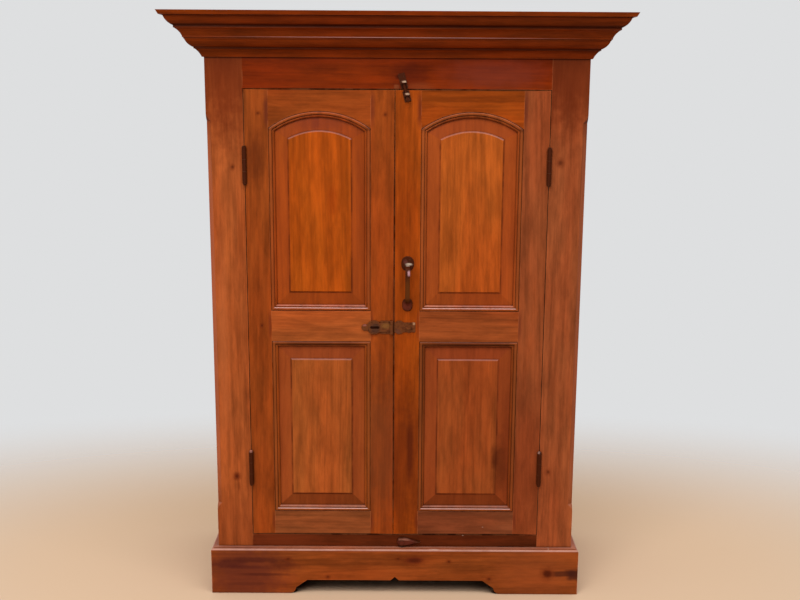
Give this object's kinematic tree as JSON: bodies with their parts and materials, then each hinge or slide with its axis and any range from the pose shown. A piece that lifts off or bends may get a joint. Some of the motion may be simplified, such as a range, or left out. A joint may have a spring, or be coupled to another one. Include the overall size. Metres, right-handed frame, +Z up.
{
  "type": "two-door cabinet",
  "caption": "Tall pine cabinet with arched raised-panel doors, a stepped cornice, a bracket plinth, iron hinges, pull, hasp, bolt and turn button.",
  "frame": {"origin": "on the floor, under the middle of the cabinet's bounding box", "axes": "+Z up, front with the doors towards -Y, +X to the right of someone facing the doors"},
  "size_m": [1.266, 0.53, 1.687],
  "materials": {
    "panel_pine": "satin varnish over orange-brown stained pine",
    "frame_pine": "satin varnish over reddish stained pine",
    "moulding_pine": "satin varnish over reddish stained pine, worn on the bead",
    "dark_pine": "satin varnish over dark stained pine",
    "plinth_pine": "satin varnish over stained knotty pine",
    "inside_pine": "bare planed pine",
    "dark_iron": "waxed dark forged iron",
    "bronzed_iron": "worn brown forged iron"
  },
  "bodies": {
    "carcass": {"back_boards": "inside_pine", "bed_moulding_front": "dark_pine", "bed_moulding_left": "dark_pine", "bed_moulding_right": "dark_pine", "bolt_keeper": "dark_iron", "bottom_rail": "dark_pine", "button_screw": "dark_iron", "cleats": "inside_pine", "crown_moulding_front": "dark_pine", "crown_moulding_left": "dark_pine", "crown_moulding_right": "dark_pine", "door_stop": "inside_pine", "floor_board": "inside_pine", "frame_hinge_leaves": "dark_iron", "frieze_rail": "dark_pine", "hinge_pins": "dark_iron", "left_side_planks": "frame_pine", "left_stile": "frame_pine", "lower_shelf": "inside_pine", "middle_shelf": "inside_pine", "plinth_back": "inside_pine", "plinth_blocks": "inside_pine", "plinth_front": "plinth_pine", "plinth_left": "plinth_pine", "plinth_right": "plinth_pine", "right_side_planks": "frame_pine", "right_stile": "frame_pine", "top_board": "dark_pine", "upper_shelf": "inside_pine"},
    "left_door": {"left_door_bottom_rail": "frame_pine", "left_door_hinge_leaves": "dark_iron", "left_door_hinge_stile": "frame_pine", "left_door_lock_rail": "frame_pine", "left_door_lock_stile": "frame_pine", "left_door_lower_moulding": "moulding_pine", "left_door_lower_panel": "panel_pine", "left_door_top_rail": "frame_pine", "left_door_upper_moulding": "moulding_pine", "left_door_upper_panel": "panel_pine", "hasp_leaf": "bronzed_iron", "hasp_pin": "bronzed_iron"},
    "right_door": {"right_door_bottom_rail": "frame_pine", "right_door_hinge_leaves": "dark_iron", "right_door_hinge_stile": "frame_pine", "right_door_lock_rail": "frame_pine", "right_door_lock_stile": "frame_pine", "right_door_lower_moulding": "moulding_pine", "right_door_lower_panel": "panel_pine", "right_door_top_rail": "frame_pine", "right_door_upper_moulding": "moulding_pine", "right_door_upper_panel": "panel_pine", "handle_grip": "dark_iron", "handle_rosettes": "dark_iron", "bolt_plate": "dark_iron", "staple_plate": "bronzed_iron", "hasp_staple": "bronzed_iron"},
    "top_bolt": {"top_bolt": "dark_iron"},
    "hasp_strap": {"hasp_strap": "bronzed_iron"},
    "turn_button": {"turn_button": "dark_iron"}
  },
  "joints": [
    {"name": "left_door_hinge", "type": "hinge", "parent": "carcass", "child": "left_door", "pos_m": [-0.424, -0.1661, 0.83], "axis": [0, 0, -1], "range_deg": [0, 170]},
    {"name": "right_door_hinge", "type": "hinge", "parent": "carcass", "child": "right_door", "pos_m": [0.424, -0.1661, 0.83], "axis": [0, 0, 1], "range_deg": [0, 170]},
    {"name": "top_bolt_slide", "type": "slide", "parent": "right_door", "child": "top_bolt", "axis": [-0.2588, 0, 0.9659], "range_m": [0, 0.008]},
    {"name": "hasp_hinge", "type": "hinge", "parent": "left_door", "child": "hasp_strap", "pos_m": [-0.0128, -0.1653, 0.817], "axis": [0, 0, 1], "range_deg": [0, 180]},
    {"name": "turn_button_pivot", "type": "hinge", "parent": "carcass", "child": "turn_button", "pos_m": [0.02, -0.166, 0.16], "axis": [0, -1, 0], "range_deg": [0, 90]}
  ]
}
